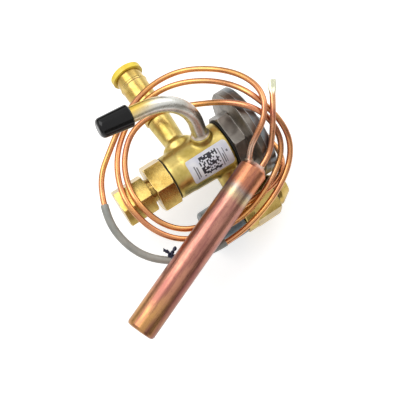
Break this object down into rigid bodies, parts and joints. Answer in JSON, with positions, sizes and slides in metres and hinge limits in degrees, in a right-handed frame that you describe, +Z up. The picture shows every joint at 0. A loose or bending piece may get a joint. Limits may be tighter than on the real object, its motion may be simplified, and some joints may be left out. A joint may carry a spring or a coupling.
{
  "type": "thermostatic_expansion_valve",
  "caption": "Angled brass expansion valve with external equalizer tube, steel diaphragm head, coiled capillary and copper sensing bulb that meters refrigerant",
  "frame": {"origin": "centre of the outlet socket's mouth, on the socket's axis", "axes": "+X from the seal cap to the power element, +Y out of the outlet socket, +Z up and away from the inlet branch"},
  "size_m": [0.099, 0.1058, 0.068],
  "materials": {
    "forged_brass": "matte",
    "turned_brass": "satin",
    "machined_brass": "satin",
    "yellow_plastic": "matte",
    "plated_tube": "satin",
    "silver_braze": "matte",
    "black_rubber": "gloss",
    "plated_cap": "satin",
    "stainless_mesh": "satin",
    "stainless_steel": "satin",
    "spring_steel": "satin",
    "fibre_gasket": "matte",
    "packing_rubber": "matte",
    "element_steel": "satin",
    "copper_tube": "satin",
    "grey_sleeve": "matte",
    "tie_plastic": "matte",
    "copper_bulb": "satin",
    "tinned_copper": "satin",
    "label_paper": "matte"
  },
  "bodies": {
    "valve": {"valve_body": "forged_brass", "outlet_fitting": "turned_brass", "equalizer_tube": "plated_tube", "equalizer_braze_ring": "silver_braze", "inlet_housing": "turned_brass", "inlet_strainer": "stainless_mesh", "strainer_plug": "turned_brass", "plug_gasket": "fibre_gasket", "orifice_seat": "stainless_steel", "bonnet": "turned_brass", "bonnet_gasket": "fibre_gasket", "stem_packing": "packing_rubber", "packing_gland": "machined_brass", "element_base": "element_steel", "element_cover": "element_steel", "element_gasket": "fibre_gasket", "diaphragm": "stainless_steel", "capillary_tube": "copper_tube", "capillary_sleeve": "grey_sleeve", "twist_tie": "tie_plastic", "sensing_bulb": "copper_bulb", "bulb_fill_tube": "tinned_copper", "label": "label_paper", "superheat_spring": "spring_steel"},
    "outlet_cover": {"outlet_cap": "yellow_plastic"},
    "equalizer_cover": {"equalizer_cap": "black_rubber"},
    "inlet_cover": {"inlet_cap": "plated_cap"},
    "stem_cover": {"seal_cap": "turned_brass"},
    "stem": {"adjusting_stem": "machined_brass"},
    "seat": {"spring_seat": "machined_brass"},
    "pin": {"valve_pin": "stainless_steel", "pin_carrier": "machined_brass", "push_rods": "stainless_steel", "buffer_plate": "machined_brass"}
  },
  "joints": [
    {"name": "outlet_cap_slide", "type": "slide", "parent": "valve", "child": "outlet_cover", "axis": [0, 1, 0], "range_m": [0, 0.06]},
    {"name": "equalizer_cap_slide", "type": "slide", "parent": "valve", "child": "equalizer_cover", "axis": [-0.9877, 0.0611, 0.144], "range_m": [0, 0.02]},
    {"name": "inlet_cap_slide", "type": "slide", "parent": "valve", "child": "inlet_cover", "axis": [-1, 0, 0], "range_m": [0, 0.02]},
    {"name": "seal_cap_slide", "type": "slide", "parent": "valve", "child": "stem_cover", "axis": [-1, 0, 0], "range_m": [0, 0.016]},
    {"name": "stem_turn", "type": "hinge", "parent": "valve", "child": "stem", "pos_m": [0, -0.052, 0], "axis": [1, 0, 0], "range_deg": [-450, 450]},
    {"name": "spring_seat_slide", "type": "slide", "parent": "valve", "child": "seat", "axis": [1, 0, 0], "range_m": [-0.00125, 0.00125], "deforming": ["superheat_spring"]},
    {"name": "pin_slide", "type": "slide", "parent": "valve", "child": "pin", "axis": [-1, 0, 0], "range_m": [0, 0.0008], "stiffness_N_per_m": 6000, "springref_m": -0.001, "deforming": ["superheat_spring", "diaphragm"]}
  ],
  "couplings": [
    {"joint": "stem_turn", "follows": "spring_seat_slide", "rad_per_m": 6283.2}
  ]
}
